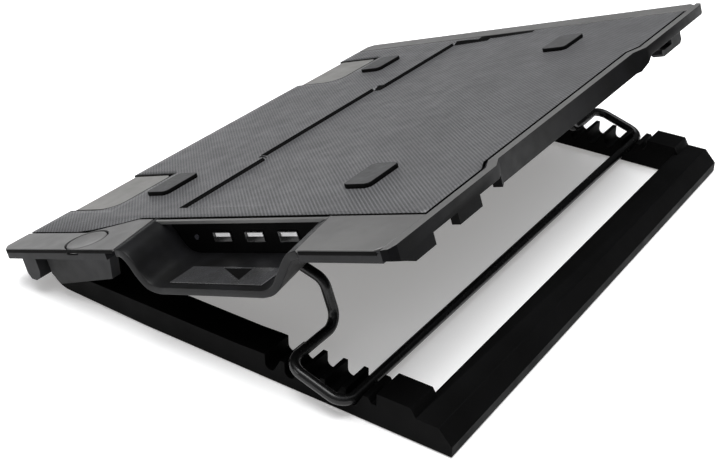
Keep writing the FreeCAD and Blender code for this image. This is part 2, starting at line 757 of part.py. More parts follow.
def make_usb_sockets():
    shells = []
    tongues = []
    start = "(%s - port_length + 0.6)" % BAY_FACE
    for number in range(3):
        middle = "(port_first + %d*port_pitch)" % number
        outer = box_at("port_outer", (start, middle + " - port_width/2",
                                      "-port_drop - port_height/2"),
                       ("port_length", "port_width", "port_height"))
        inner = box_at("port_inner", (start + " + 1.5", middle + " - port_width/2 + port_skin",
                                      "-port_drop - port_height/2 + port_skin"),
                       ("port_length", "port_width - 2*port_skin", "port_height - 2*port_skin"))
        shell = doc.addObject("Part::Cut", "port_shell")
        shell.Base = outer
        shell.Tool = inner
        shells.append(shell)
        tongues.append(box_at("port_tongue", (start + " + 1.5", middle + " - port_width/2 + 1",
                                              "-port_drop - 0.2"),
                              ("port_length - 2.6", "port_width - 2", "2.4")))
    keep(group_of("usb_sockets", shells), DECK)
    keep(group_of("usb_tongues", tongues), DECK)


def make_hub_board():
    inner = "(%s - bay_wall)" % BAY_FACE
    board = box_at("board", (inner + " - housing_width + deck_wall + 0.6", "bay_front + 19",
                                 "-port_drop - port_height/2 - board_thick"),
                   ("housing_width - deck_wall - 1.2", "bay_rear - bay_front - 34",
                    "board_thick"))
    keep(group_of("hub_board", [board]), DECK)


def make_status_light():
    lens = doc.addObject("Part::Cylinder", "status_light")
    lens.Label = "status_light"
    lens.setExpression("Radius", bound("light_radius"))
    lens.setExpression("Height", bound("bay_wall + 0.6"))
    doc.recompute()
    start = Vector(amount_of(BAY_FACE + " - bay_wall"), amount_of("light_place"),
                   amount_of("-port_drop"))
    lens.Placement = Placement(start, Rotation(Vector(0, 1, 0), 90))
    keep(lens, DECK)


def make_upstream_socket():
    inner = "(%s - bay_wall)" % BAY_FACE
    shell = box_at("socket_outer", (inner + " - 9", "bay_front + 22", "-port_drop - 2"),
                   ("8.6", "7.6", "4"))
    hole = box_at("socket_hole", (inner + " - 8", "bay_front + 22.6", "-port_drop - 1.4"),
                  ("9", "6.4", "2.8"))
    socket = doc.addObject("Part::Cut", "upstream_socket")
    socket.Label = "upstream_socket"
    socket.Base = shell
    socket.Tool = hole
    keep(socket, DECK)


# ---------------------------------------------------------------- fan

def make_fan():
    top = "(-step_depth - sheet_thick - 1.0)"
    low = "(%s - fan_thick)" % top
    half = "fan_side/2"
    body = new_body("fan_frame")
    square = rectangle("fan_x - " + half, "fan_y - " + half, "fan_x + " + half, "fan_y + " + half)
    pad(body, outline(body, "XY_Plane", low, square), "fan_thick")
    soften(body, "pad_corner", lambda edge: runs_along(edge, Vector(0, 0, 1)))
    pocket(body, circles(body, "XY_Plane", top, ("fan_x", "fan_y", "fan_bore")))
    strut = [rectangle("fan_x - fan_bore - 1", "fan_y - 3", "fan_x + fan_bore + 1", "fan_y + 3"),
             rectangle("fan_x - 3", "fan_y - fan_bore - 1", "fan_x + 3", "fan_y + fan_bore + 1")]
    for bar in strut:
        pad(body, outline(body, "XY_Plane", low, bar), "2")
    pad(body, circles(body, "XY_Plane", low, ("fan_x", "fan_y", "fan_hub")), "2")
    corner = "(fan_side/2 - 7.5)"
    holes = [("fan_x %s %s" % (a, corner), "fan_y %s %s" % (b, corner), "2.2")
             for a in "+-" for b in "+-"]
    pocket(body, circles(body, "XY_Plane", top, *holes))
    keep(body, DECK)

    screws = []
    for a in "+-":
        for b in "+-":
            screw = doc.addObject("Part::Cylinder", "fan_screw")
            screw.setExpression("Radius", bound("2"))
            screw.setExpression("Height", bound("fan_thick + 1"))
            screw.setExpression("Placement.Base.x", bound("fan_x %s %s" % (a, corner)))
            screw.setExpression("Placement.Base.y", bound("fan_y %s %s" % (b, corner)))
            screw.setExpression("Placement.Base.z", bound(low))
            screws.append(screw)
    keep(group_of("fan_screws", screws), DECK)

    motor = new_body("fan_motor")
    pad(motor, circles(motor, "XY_Plane", low + " + 2", ("fan_x", "fan_y", "13")), "6")
    pocket(motor, circles(motor, "XY_Plane", low + " + 8",
                          ("fan_x", "fan_y", "shaft_radius + run_clear")), "5")
    keep(motor, DECK)

    guard = new_body("fan_guard")
    level = "-plenum_drop"
    for bar in (rectangle("fan_x - fan_bore + 0.4", "fan_y - 1.5", "fan_x + fan_bore - 0.4", "fan_y + 1.5"),
                rectangle("fan_x - 1.5", "fan_y - fan_bore + 0.4", "fan_x + 1.5", "fan_y + fan_bore - 0.4")):
        pad(guard, outline(guard, "XY_Plane", level, bar), "1.6")
    rings = int((amount_of("fan_bore") - amount_of("fan_hub")) / amount_of("grille_pitch"))
    for ring in range(rings + 1):
        outer = "(fan_bore - 0.5 - %d*grille_pitch)" % ring
        pad(guard, circles(guard, "XY_Plane", level, ("fan_x", "fan_y", outer),
                           ("fan_x", "fan_y", outer + " - grille_ring")), "1.6")
    keep(guard, DECK)


def make_fan_rotor():
    """A hub cup with a shaft and twisted blades, each lofted from root to tip."""
    hub = amount_of("fan_hub")
    tip = amount_of("fan_bore - blade_gap")
    top = amount_of("-step_depth - sheet_thick - 1.5")
    low = top - amount_of("fan_thick") + 4.0
    middle = (top + low) / 2
    height = top - low
    cup = Part.makeCylinder(hub, height, Vector(0, 0, low))
    cup = cup.cut(Part.makeCylinder(hub - 2, height - 1.6, Vector(0, 0, low)))
    shaft = Part.makeCylinder(amount_of("shaft_radius"), height + 0.3, Vector(0, 0, low - 0.3))
    rotor = cup.fuse(shaft)

    def blade_section(radius, pitch, chord, thick):
        across = Vector(0, math.cos(pitch), math.sin(pitch)) * (chord / 2)
        proud = Vector(0, -math.sin(pitch), math.cos(pitch)) * (thick / 2)
        centre = Vector(radius, 0, middle)
        return Part.makePolygon([centre - across - proud, centre + across - proud,
                                 centre + across + proud, centre - across + proud,
                                 centre - across - proud])
    root = blade_section(hub - 1, math.radians(38), 13.0, 1.6)
    end = blade_section(tip, math.radians(14), 31.0, 1.2)
    blade = Part.makeLoft([root, end], True, True)
    limit = Part.makeCylinder(tip, height, Vector(0, 0, low))
    blade = blade.common(limit)
    count = int(amount_of("blade_count"))
    for number in range(count):
        turned = blade.copy()
        turned.rotate(Vector(0, 0, 0), Vector(0, 0, 1), number * 360.0 / count)
        rotor = rotor.fuse(turned)
    centre = Vector(amount_of("fan_x"), amount_of("fan_y"), 0)
    solid_feature("fan_rotor", rotor, DECK.multiply(Placement(centre, Rotation())))


# ---------------------------------------------------------------- dial, stoppers, pads

def make_speed_dial():
    dial_x = "(deck_width/2 - dial_inset)"
    body = new_body("speed_dial")
    pad(body, circles(body, "XY_Plane", "-0.1 - dial_thick", (dial_x, "dial_place", "dial_radius")),
        "dial_thick")
    keep(body, DECK)
    sensor = new_body("dial_sensor")
    pad(sensor, circles(sensor, "XY_Plane", "-deck_edge + 1", (dial_x, "dial_place", "5")),
        "deck_edge - 1.4 - dial_thick")
    keep(sensor, DECK)


def make_stoppers():
    for side in ("right", "left"):
        middle = "stopper_" + side
        half = "stopper_width/2"
        axis_w = "(-0.4 - stopper_thick/2)"
        well = new_body("stopper_well_" + side)
        wall = "(stopper_width/2 + stopper_gap + well_wall)"
        room = "(stopper_width/2 + stopper_gap)"
        rear = "stopper_length + stopper_gap"
        pad(well, outline(well, "XY_Plane", "-deck_edge + 1.6", rectangle(
            "%s - %s" % (middle, wall), "-front_lip + 0.4", "%s + %s" % (middle, wall),
            rear + " + well_wall")), "deck_edge - 1.6")
        pocket(well, outline(well, "XY_Plane", "1", rectangle(
            "%s - %s" % (middle, room), "-front_lip - 1", "%s + %s" % (middle, room), rear)),
            "deck_edge - 1.6")
        pocket(well, circles(well, "YZ_Plane", "%s - %s - 0.8" % (middle, room),
                             ("stopper_axis", axis_w, "stopper_pin")),
               "%s*2 + 1.6" % room, forward=True)
        keep(well, DECK)

        flap = new_body("stopper_" + side)
        front = "stopper_axis - stopper_thick/2"
        plate = rectangle("%s - %s" % (middle, half), "stopper_axis", "%s + %s" % (middle, half),
                          "stopper_length")
        pad(flap, outline(flap, "XY_Plane", "-0.4 - stopper_thick", plate), "stopper_thick")
        barrel = circles(flap, "YZ_Plane", "%s - %s" % (middle, half),
                         ("stopper_axis", axis_w, "stopper_thick/2"))
        pad(flap, barrel, "stopper_width")
        for radius, hand in (("stopper_round", 1), ("pad_corner", -1)):
            soften(flap, radius, lambda edge: runs_along(edge, Vector(0, 0, 1))
                   and edge.CenterOfMass.y > amount_of("stopper_length/2")
                   and hand*(edge.CenterOfMass.x - amount_of(middle)) > amount_of("stopper_width/2") - 1)
        bore = circles(flap, "YZ_Plane", "%s - %s - 1" % (middle, half),
                       ("stopper_axis", axis_w, "stopper_pin + run_clear"))
        pocket(flap, bore, "stopper_width + 2", forward=True)
        keep(flap, DECK)

        pin = doc.addObject("Part::Cylinder", "stopper_pin_" + side)
        pin.Label = "stopper_pin_" + side
        pin.setExpression("Radius", bound("stopper_pin"))
        pin.setExpression("Height", bound("%s*2 + 1.6" % room))
        doc.recompute()
        start = Vector(amount_of("%s - %s - 0.8" % (middle, room)), amount_of("stopper_axis"),
                       amount_of(axis_w))
        pin.Placement = Placement(start, Rotation(Vector(0, 1, 0), 90))
        keep(pin, DECK)


def make_rubber_pads():
    for row in ("front", "rear"):
        for side in ("right", "left"):
            body = new_body("rubber_pad_%s_%s" % (row, side))
            half_w = "%s_pad_width/2" % row
            half_l = "%s_pad_length/2" % row
            middle = "pad_" + side
            place = "%s_pad_place" % row
            corners = rectangle("%s - %s" % (middle, half_w), "%s - %s" % (place, half_l),
                                "%s + %s" % (middle, half_w), "%s + %s" % (place, half_l))
            pad(body, outline(body, "XY_Plane", "0", corners), "pad_height")
            soften(body, "pad_corner", lambda edge: runs_along(edge, Vector(0, 0, 1)))
            soften(body, "pad_height/3",
                   lambda edge: edge.CenterOfMass.z > amount_of("pad_height") - 0.01)
            keep(body, DECK)


# ---------------------------------------------------------------- wire stand

def stand_points():
    """The wire's corners on the right side, from the pivot stub to the cross rod."""
    arm = amount_of("deck_width/2 - arm_inset")
    outside = amount_of("base_width/2 + arm_gap + rod_radius")
    pivot = deck_point(0, amount_of("pivot_place"), -amount_of("pivot_drop"))
    rod = BASE.multVec(Vector(0, amount_of("base_reach - notch_back"), amount_of("seat_centre")))
    knee = pivot + Vector(0, amount_of("knee_run"), -amount_of("knee_drop"))
    shoulder = rod + Vector(0, -amount_of("shoulder_run"), amount_of("shoulder_rise"))
    stub = arm - amount_of("stub_length")
    return [Vector(stub, pivot.y, pivot.z), Vector(arm, pivot.y, pivot.z),
            Vector(arm, knee.y, knee.z), Vector(arm, shoulder.y, shoulder.z),
            Vector(outside, shoulder.y, shoulder.z), Vector(outside, rod.y, rod.z)]


def make_wire_stand():
    right = stand_points()
    left = [Vector(-spot.x, spot.y, spot.z) for spot in reversed(right)]
    wire = tube_along(right + left, amount_of("rod_radius"), amount_of("rod_bend"))
    solid_feature("wire_stand", wire, Placement())


def make_stand_clips():
    arm = "(deck_width/2 - arm_inset)"
    start = "(%s - stub_length + 4)" % arm
    for side, place, back in (("right", start, False), ("left", "-" + start, True)):
        body = new_body("stand_clip_" + side)
        block = rectangle("pivot_place - clip_half", "-pivot_drop - rod_radius - 2.5",
                          "pivot_place + clip_half", "-deck_edge")
        pad(body, outline(body, "YZ_Plane", place, block), "clip_width", back=back)
        soften(body, "rod_radius", lambda edge: runs_along(edge, Vector(1, 0, 0))
               and edge.CenterOfMass.z < -amount_of("pivot_drop"))
        pocket(body, circles(body, "YZ_Plane", "0",
                             ("pivot_place", "-pivot_drop", "rod_radius + run_clear")),
               symmetric=True)
        keep(body, DECK)


# ---------------------------------------------------------------- small parts

def make_cable_hook():
    body = new_body("cable_hook")
    low = "-deck_edge - hook_drop"
    tip = "hook_place + hook_length"
    shape = [("hook_place", "-deck_edge"), ("hook_place", low + " + 2"), ("hook_place + 3", low),
             (tip + " - 3", low), (tip, low + " + 2.4"), (tip + " - 1", low + " + hook_thick + 1"),
             (tip + " - 5", low + " + hook_thick"), ("hook_place + hook_root", low + " + hook_thick"),
             ("hook_place + hook_root", "-deck_edge")]
    place = "-(deck_depth - bezel_thick - 3)"
    pad(body, outline(body, "XZ_Plane", place, shape), "hook_wide")
    return keep(body, DECK)


def make_deck_screws():
    items = []
    for x, y in SCREWS:
        screw = doc.addObject("Part::Cylinder", "deck_screw")
        screw.setExpression("Radius", bound("screw_radius"))
        screw.setExpression("Height", bound("deck_wall + 0.6"))
        screw.setExpression("Placement.Base.x", bound(x))
        screw.setExpression("Placement.Base.y", bound(y))
        screw.setExpression("Placement.Base.z", bound("-deck_edge + 0.3"))
        items.append(screw)
    keep(group_of("deck_screws", items), DECK)


# ---------------------------------------------------------------- build, check, write

make_base_frame()
make_base_feet()
make_hinge_pins()
make_deck_tray()
make_mesh_panel()
make_trims()
make_rear_bezel()
make_hub_bay()
make_bay_plate()
make_usb_sockets()
make_hub_board()
make_status_light()
make_upstream_socket()
make_fan()
make_fan_rotor()
make_speed_dial()
make_stoppers()
make_rubber_pads()
make_wire_stand()
make_stand_clips()
make_cable_hook()
make_deck_screws()
doc.recompute()

for item in doc.Objects:
    if "Invalid" in item.State or "Error" in item.State:
        raise RuntimeError("%s (%s) failed: %s" % (item.Name, item.Label, item.State))
for item in kept:
    if item.Shape.isNull() or not item.Shape.isValid() or not item.Shape.Solids:
        raise RuntimeError("%s has no valid solid" % item.Label)

os.makedirs("parts", exist_ok=True)
for item in kept:
    item.Shape.exportStep("parts/%s.step" % item.Label)
    box = item.Shape.BoundBox
    print("%-24s solids %2d  volume %9.1f  x %7.1f %7.1f  y %7.1f %7.1f  z %6.1f %6.1f" % (
        item.Label, len(item.Shape.Solids), item.Shape.Volume, box.XMin, box.XMax,
        box.YMin, box.YMax, box.ZMin, box.ZMax))
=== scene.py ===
# %% [markdown]
# # A laptop cooling pad, finished
#
# The engineering model gives every part its place and its motion. This notebook gives the parts
# their looks. It loads the fixed frame first, and every new piece is worked out in the same metres.

import json
import math

import bmesh
import bpy
import numpy as np
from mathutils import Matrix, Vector


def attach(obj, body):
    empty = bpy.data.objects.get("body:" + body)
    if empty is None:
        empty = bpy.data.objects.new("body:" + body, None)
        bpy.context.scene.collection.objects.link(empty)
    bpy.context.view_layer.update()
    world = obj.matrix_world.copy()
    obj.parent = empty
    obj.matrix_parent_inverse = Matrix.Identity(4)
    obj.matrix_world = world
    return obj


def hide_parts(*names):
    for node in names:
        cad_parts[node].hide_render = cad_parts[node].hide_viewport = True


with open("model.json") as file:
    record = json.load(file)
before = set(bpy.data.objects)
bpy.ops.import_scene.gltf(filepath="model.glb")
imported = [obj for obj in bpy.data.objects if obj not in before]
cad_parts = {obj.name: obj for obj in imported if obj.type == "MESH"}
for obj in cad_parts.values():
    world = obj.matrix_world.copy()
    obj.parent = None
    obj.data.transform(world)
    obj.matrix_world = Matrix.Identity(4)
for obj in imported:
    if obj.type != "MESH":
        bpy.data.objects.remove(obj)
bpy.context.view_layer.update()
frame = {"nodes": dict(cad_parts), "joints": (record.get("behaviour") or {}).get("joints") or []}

# %% [markdown]
# The deck is tilted about its hinge, so it is easiest to draw its pieces in the deck's own
# coordinates: x to the right, v rearwards along the top, w out of it, all in millimetres. One
# function turns those into metres in the frame. The tilt is read from the fan's axis, which
# stands square to the deck.

# %% The deck's own coordinates
HINGE_V, HINGE_W = 32.1, -18.7
joints = {joint["name"]: joint for joint in frame["joints"]}
HINGE = np.array(joints["deck_tilt"]["pos_m"])
NORMAL = np.array(joints["fan_spin"]["axis"])
SLOPE = np.array([0.0, NORMAL[2], -NORMAL[1]])


def on_deck(x, v, w):
    """Frame position = hinge + x along X + (v - hinge v) along the slope + (w - hinge w) out."""
    x, v, w = np.broadcast_arrays(np.asarray(x, float), v, w)
    place = HINGE * [0, 1, 1] + 0 * x[..., None]
    place = place + 0.001 * x[..., None] * np.array([1.0, 0.0, 0.0])
    place = place + 0.001 * (v[..., None] - HINGE_V) * SLOPE
    return place + 0.001 * (w[..., None] - HINGE_W) * NORMAL


print("deck tilt", round(math.degrees(math.atan2(SLOPE[2], SLOPE[1])), 2), "degrees")

# %% [markdown]
# Most new pieces are grids: a rectangle of points, each joined to its neighbours by four-sided
# faces. The builder below takes such a grid as one array, can leave out the faces under a mask,
# and can carry a second array as the piece's UV map.

# %% Grids into meshes
DECK_PLANE = "DeckPlane"


def quads(rows, columns, wrap=False):
    """Corner numbers of every cell of a grid: (i, j), (i, j+1), (i+1, j+1), (i+1, j)."""
    i, j = np.meshgrid(np.arange(rows - 1), np.arange(columns if wrap else columns - 1),
                       indexing="ij")
    k = (j + 1) % columns
    return np.stack([i * columns + j, i * columns + k, (i + 1) * columns + k,
                     (i + 1) * columns + j], -1).reshape(-1, 4)


def link_object(name, mesh):
    piece = bpy.data.objects.new(name, mesh)
    bpy.context.scene.collection.objects.link(piece)
    return piece


def grid_piece(name, points, keep=None, uv=None, wrap=False):
    """One grid of points as a piece; keep says which cells stay, uv gives each point's place."""
    faces = quads(points.shape[0], points.shape[1], wrap)
    if keep is not None:
        faces = faces[keep.ravel()]
    mesh = bpy.data.meshes.new(name)
    mesh.from_pydata(points.reshape(-1, 3).tolist(), [], faces.tolist())
    if uv is not None:
        layer = mesh.uv_layers.new(name=DECK_PLANE)
        corners = np.zeros(len(mesh.loops), np.int32)
        mesh.loops.foreach_get("vertex_index", corners)
        layer.data.foreach_set("uv", uv.reshape(-1, 2)[corners].astype(np.float32).ravel())
    mesh.validate()
    return link_object(name, mesh)


def lines(*stops, gap=6.0):
    """Grid lines through every stop, with more between them about as wide as the gap."""
    parts = [np.linspace(a, b, max(1, round((b - a) / gap)) + 1)[:-1]
             for a, b in zip(stops, stops[1:])]
    return np.append(np.concatenate(parts), stops[-1])


print("a grid of 3 by 3 points has", len(quads(3, 3)), "cells")

# %% [markdown]
# A grid is only a skin. Solidify gives it a wall on its inner side, and Bevel rounds its edges so
# that they catch the light. Shading turns smooth except where faces meet at more than an angle.
# Each piece then gets its finish, the body that it rides on, and the parts that it stands for.

# %% Walls, eased edges and places
def thicken(piece, millimetres):
    wall = piece.modifiers.new("wall", "SOLIDIFY")
    wall.thickness = millimetres / 1000
    wall.offset = -1.0
    wall.use_even_offset = True


def ease_edges(piece, millimetres, segments=2, angle=32):
    edge = piece.modifiers.new("eased edges", "BEVEL")
    edge.width = millimetres / 1000
    edge.segments = segments
    edge.limit_method = "ANGLE"
    edge.angle_limit = math.radians(angle)
    edge.harden_normals = False


def smooth(piece, angle):
    piece.data.shade_smooth()
    piece.data.set_sharp_from_angle(angle=math.radians(angle))


def fit_out(piece, body, slot, material, *nodes):
    """Give a piece its finish, the body that it moves with and the parts that it stands for."""
    piece.data.materials.clear()
    piece.data.materials.append(material)
    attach(piece, body)
    if nodes:
        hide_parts(*nodes)
    print(piece.name, len(piece.data.polygons), "faces, on", body)
    return piece


# %% [markdown]
# A finish is a small tree of nodes. Three helpers keep the trees short: a noise at a number of
# waves to the metre, a range that a noise is spread over, and a ramp between two colours.

# %% Helpers for the finishes
def node(tree, kind, **settings):
    made = tree.nodes.new(kind)
    for name, value in settings.items():
        setattr(made, name, value)
    return made


def noise(tree, source, per_metre, detail):
    made = node(tree, "ShaderNodeTexNoise")
    made.inputs["Scale"].default_value = per_metre
    made.inputs["Detail"].default_value = detail
    tree.links.new(source, made.inputs["Vector"])
    return made.outputs["Fac"]


def set_range(made, start, end, low, high):
    for name, value in (("From Min", start), ("From Max", end), ("To Min", low), ("To Max", high)):
        made.inputs[name].default_value = value


def spread(tree, source, low, high, start=0.3, end=0.7):
    made = node(tree, "ShaderNodeMapRange")
    set_range(made, start, end, low, high)
    tree.links.new(source, made.inputs["Value"])
    return made.outputs["Result"]


def two_tone(tree, source, dark, light):
    ramp = node(tree, "ShaderNodeValToRGB")
    for element, position, colour in zip(ramp.color_ramp.elements, (0.35, 0.65), (dark, light)):
        element.position = position
        element.color = (*colour, 1)
    tree.links.new(source, ramp.inputs["Fac"])
    return ramp.outputs["Color"]


def raised(tree, height, strength, metres, shader):
    """Bump: the height, in metres at its full value, tips the shader's normal."""
    bump = node(tree, "ShaderNodeBump")
    bump.inputs["Strength"].default_value = strength
    bump.inputs["Distance"].default_value = metres
    tree.links.new(height, bump.inputs["Height"])
    tree.links.new(bump.outputs["Normal"], shader.inputs["Normal"])


def grey(level, blue=1.0):
    return (level, level, level * blue)


print("a grey of 0.1, a little blue:", grey(0.1, 1.05))

# %% [markdown]
# Moulded plastic is never one flat colour. Its tone drifts over a few centimetres, its gloss
# changes a little faster, and a fine grain from the mould breaks up the highlights. One recipe
# makes all of these finishes: three noises in object coordinates drive colour, roughness and bump.

# %% The recipe for moulded and painted finishes
GLOSS_TO_DRIFT, GRAIN_STRENGTH = 0.3, 0.6


def finish(name, dark, light, rough, grain_mm, depth_mm, drift_mm, **sockets):
    material = bpy.data.materials.new(name)
    material.use_nodes = True
    tree = material.node_tree
    shader = tree.nodes["Principled BSDF"]
    where = node(tree, "ShaderNodeTexCoord").outputs["Object"]
    tone = noise(tree, where, 1000 / drift_mm, 4.0)
    tree.links.new(two_tone(tree, tone, dark, light), shader.inputs["Base Color"])
    gloss = noise(tree, where, 1000 / (drift_mm * GLOSS_TO_DRIFT), 5.0)
    tree.links.new(spread(tree, gloss, *rough), shader.inputs["Roughness"])
    grain = noise(tree, where, 1000 / grain_mm, 2.0)
    raised(tree, grain, GRAIN_STRENGTH, depth_mm / 1000, shader)
    for socket, value in sockets.items():
        shader.inputs[socket.replace("_", " ")].default_value = value
    return material


# %% [markdown]
# The blacks differ by their gloss more than by their colour. The floor frame is nearly matt, the
# wire is lacquered, and the bay is satin. Each line below gives the darker and the lighter tone,
# the range of roughness, the grain's size and depth, and the width of the drift, in millimetres.

# %% Blacks and greys of the housing
FRAME_BLACK = finish("floor_frame_black", grey(0.001), grey(0.002, 1.05), (0.5, 0.62), 0.5, 0.015,
                     40, Specular_IOR_Level=0.04)
DECK_BLACK = finish("deck_side_charcoal", grey(0.012), grey(0.018, 1.06), (0.42, 0.55), 0.5, 0.02,
                    25, Specular_IOR_Level=0.12)
TRIM_GREY = finish("trim_warm_grey", (0.076, 0.075, 0.074), (0.094, 0.093, 0.091), (0.36, 0.46),
                   0.35, 0.012, 35)
STOP_GREY = finish("stopper_warm_grey", (0.105, 0.103, 0.098), (0.127, 0.124, 0.118), (0.36, 0.46),
                   0.35, 0.012, 30)
GLOSS_BLACK = finish("gloss_black", grey(0.002), grey(0.004, 1.15), (0.3, 0.4), 0.9, 0.004,
                     25, Specular_IOR_Level=0.03)
BAY_SATIN = finish("bay_satin_charcoal", grey(0.004), grey(0.007, 1.1), (0.34, 0.44), 0.5, 0.012,
                   25, Specular_IOR_Level=0.14)
# Near-black: the real colour of the socket wall and the printed triangle, and painted shade in the
# sheet's step groove, on the cut rims, under the right trims and round the pads' sides.
BLACK_AND_PAINTED_SHADE = finish("black_and_painted_shade", grey(0.001), grey(0.002), (0.6, 0.7), 0.6, 0.01, 20,
                      Specular_IOR_Level=0.05)
# Real charcoal for the stoppers' wells; on the stoppers' sides the same finish is painted shade.
WELL_DARK_AND_SIDE_SHADE = finish("well_charcoal", grey(0.002), grey(0.004), (0.5, 0.62), 0.5, 0.02, 20,
                   Specular_IOR_Level=0.2)
PLATE_GREY = finish("label_plate_grey", grey(0.022), grey(0.03, 1.06), (0.22, 0.32), 0.5, 0.006,
                    20)
FAN_BLACK = finish("fan_black", grey(0.012), grey(0.018), (0.4, 0.5), 0.6, 0.015, 25)
ROD_BLACK = finish("wire_gloss_black", grey(0.003), grey(0.005), (0.2, 0.3), 1.2, 0.006, 20,
                   Specular_IOR_Level=0.3)
print(len(bpy.data.materials), "finishes for the housing")

# %% Rubber, metal and small parts
PAD_RUBBER = finish("pad_rubber", grey(0.034), grey(0.044, 1.03), (0.6, 0.75), 0.25, 0.03, 12)
FOOT_RUBBER = finish("foot_rubber", grey(0.012), grey(0.02), (0.7, 0.85), 0.25, 0.03, 8)
PIN_STEEL = finish("pin_steel", grey(0.42), grey(0.5), (0.3, 0.42), 0.3, 0.006, 6, Metallic=1.0)
SHELL_METAL = finish("socket_shell_metal", grey(0.16), grey(0.22), (0.25, 0.35), 0.4, 0.006, 6,
                     Metallic=1.0)
# The socket tongues are white plastic, and a faint glow paints extra light on them in the shaded
# bay.
TONGUE_WHITE_AND_GLOW = finish("socket_tongue_white_painted_glow", grey(0.75), grey(0.85), (0.35, 0.45), 0.5, 0.01, 5,
                      Emission_Strength=0.2)
BOARD_GREEN = finish("board_green", (0.01, 0.09, 0.035), (0.015, 0.13, 0.05), (0.35, 0.5), 1.0,
                     0.02, 8)
LENS_CLEAR = finish("light_lens", grey(0.03, 1.2), grey(0.05, 1.2), (0.1, 0.16), 0.6, 0.004, 3,
                    Coat_Weight=0.6, Coat_Roughness=0.05)
print(len(bpy.data.materials), "finishes in all")

# %% [markdown]
# The deck's top is a painted sheet with thousands of fine holes in staggered rows. Cutting each
# hole would take far too many faces for what a desk-distance view shows, so the holes live in the
# material: a lattice in the sheet's own UV map, which runs in millimetres, turned by 45 degrees.
# Around each lattice point the distance decides where the paint ends and the dark hole begins,
# and the same distance dips the bump so that each hole has a lit rim.

# %% The perforated sheet's finish
HOLE_PITCH_MM = 2.6
HOLE_ENDS, PAINT_STARTS = 0.30, 0.42
RIM_STRENGTH, RIM_METRES = 0.5, 0.0003
TONE_PER_METRE, GLOSS_PER_METRE = 28, 90
SHEET_ROUGH = (0.42, 0.55)


def perforated(name, dark, light, hole):
    material = bpy.data.materials.new(name)
    material.use_nodes = True
    tree = material.node_tree
    shader = tree.nodes["Principled BSDF"]
    flat = node(tree, "ShaderNodeUVMap", uv_map=DECK_PLANE).outputs["UV"]
    turned = node(tree, "ShaderNodeMapping")
    turned.inputs["Rotation"].default_value[2] = math.radians(45)
    tree.links.new(flat, turned.inputs["Vector"])
    lattice = node(tree, "ShaderNodeTexVoronoi", voronoi_dimensions="2D", feature="F1")
    lattice.inputs["Scale"].default_value = 1 / (HOLE_PITCH_MM * math.sqrt(0.5))
    lattice.inputs["Randomness"].default_value = 0.0
    tree.links.new(turned.outputs["Vector"], lattice.inputs["Vector"])
    metal = spread(tree, lattice.outputs["Distance"], 0.0, 1.0, HOLE_ENDS, PAINT_STARTS)
    where = node(tree, "ShaderNodeTexCoord").outputs["Object"]
    paint = two_tone(tree, noise(tree, where, TONE_PER_METRE, 4.0), dark, light)
    mix = node(tree, "ShaderNodeMix", data_type="RGBA")
    tree.links.new(metal, mix.inputs["Factor"])
    mix.inputs["A"].default_value = (*hole, 1)
    tree.links.new(paint, mix.inputs["B"])
    tree.links.new(mix.outputs["Result"], shader.inputs["Base Color"])
    gloss = noise(tree, where, GLOSS_PER_METRE, 4.0)
    tree.links.new(spread(tree, gloss, *SHEET_ROUGH), shader.inputs["Roughness"])
    raised(tree, metal, RIM_STRENGTH, RIM_METRES, shader)
    return material


SHEET = perforated("perforated_sheet", grey(0.084, 1.04), grey(0.100, 1.04), grey(0.016))
print("hole rows every", HOLE_PITCH_MM, "mm")

# %% [markdown]
# The sheet itself is one pressed shape. Behind the front third it steps down by 2 mm and then
# climbs back to flush, which leaves a shallow well for air under the laptop. The step's line
# jogs forward in the middle. A height function of x and v gives all of that.

# %% The sheet's height
STEP_DEPTH, STEP_RUN, CREASE_V = 2.0, 1.2, 176.0
STEP_X = [-180, -72, -66, 55, 63, 180]
STEP_V = [94.5, 94.5, 89.0, 89.0, 94.5, 94.5]
WELL_RIGHT, RIGHT_FADE = 140.5, 4.0
WELL_LEFT, LEFT_SLANT, LEFT_FADE = 171.0, 0.08, 1.9


def step_line(x):
    """Where the sheet steps down: 94.5 at the sides, jogging to 89 between x -66 and 55."""
    return np.interp(x, STEP_X, STEP_V)


def sheet_height(x, v):
    """Zero outside the well; inside, down by the step and back up linearly to the crease."""
    behind = np.clip((v - step_line(x)) / STEP_RUN, 0, 1)
    climb = np.clip((CREASE_V - v) / (CREASE_V - step_line(x) - STEP_RUN), 0, 1)
    right = np.clip((WELL_RIGHT - x) / RIGHT_FADE, 0, 1)
    left = np.clip((x + WELL_LEFT + LEFT_SLANT * (v - 94)) / LEFT_FADE, 0, 1)
    return -STEP_DEPTH * behind * climb * right * left


print("height just behind the step", round(float(sheet_height(0.0, 91.0)), 2), "mm")

# %% [markdown]
# The sheet's grid has its rows and columns laid on the shape's own corners. Its last columns are
# then moved out or in to follow the right trims, and its last rows to follow the recess in the
# rear edge. The cells over the two stoppers are left out.

# %% Plan of the sheet
RIGHT_V = [-4.0, 41, 51, 61.5, 77, 290]
RIGHT_X = [171.8, 172.0, 169.3, 163.6, 153.6, 153.6]
REAR_X = [-200.0, -100, -90, 90, 100, 200]
REAR_V = [273.9, 273.9, 269.4, 269.4, 273.9, 273.9]
LEFT_X, SIDE_FROM, STRAIGHT_X = -176.6, 149.0, 153.6
FRONT_V, REAR_FROM, FLAT_REAR = -2.4, 200.0, 273.9
STOPPERS = {"right": 111.5, "left": -123.0}
STOP_HALF, STOP_LENGTH = 26.5, 34.0
WELL_HALF, WELL_REAR = STOP_HALF + 2.9, STOP_LENGTH + 2.9
cuts = [STOPPERS[side] + sign * WELL_HALF for side in STOPPERS for sign in (-1, 1)]
across = lines(*sorted([LEFT_X, -172, -167, -100, -90, -72, -66, 55, 63, 90, 100, 136.5,
                        WELL_RIGHT, SIDE_FROM, STRAIGHT_X, *cuts]), gap=5.0)
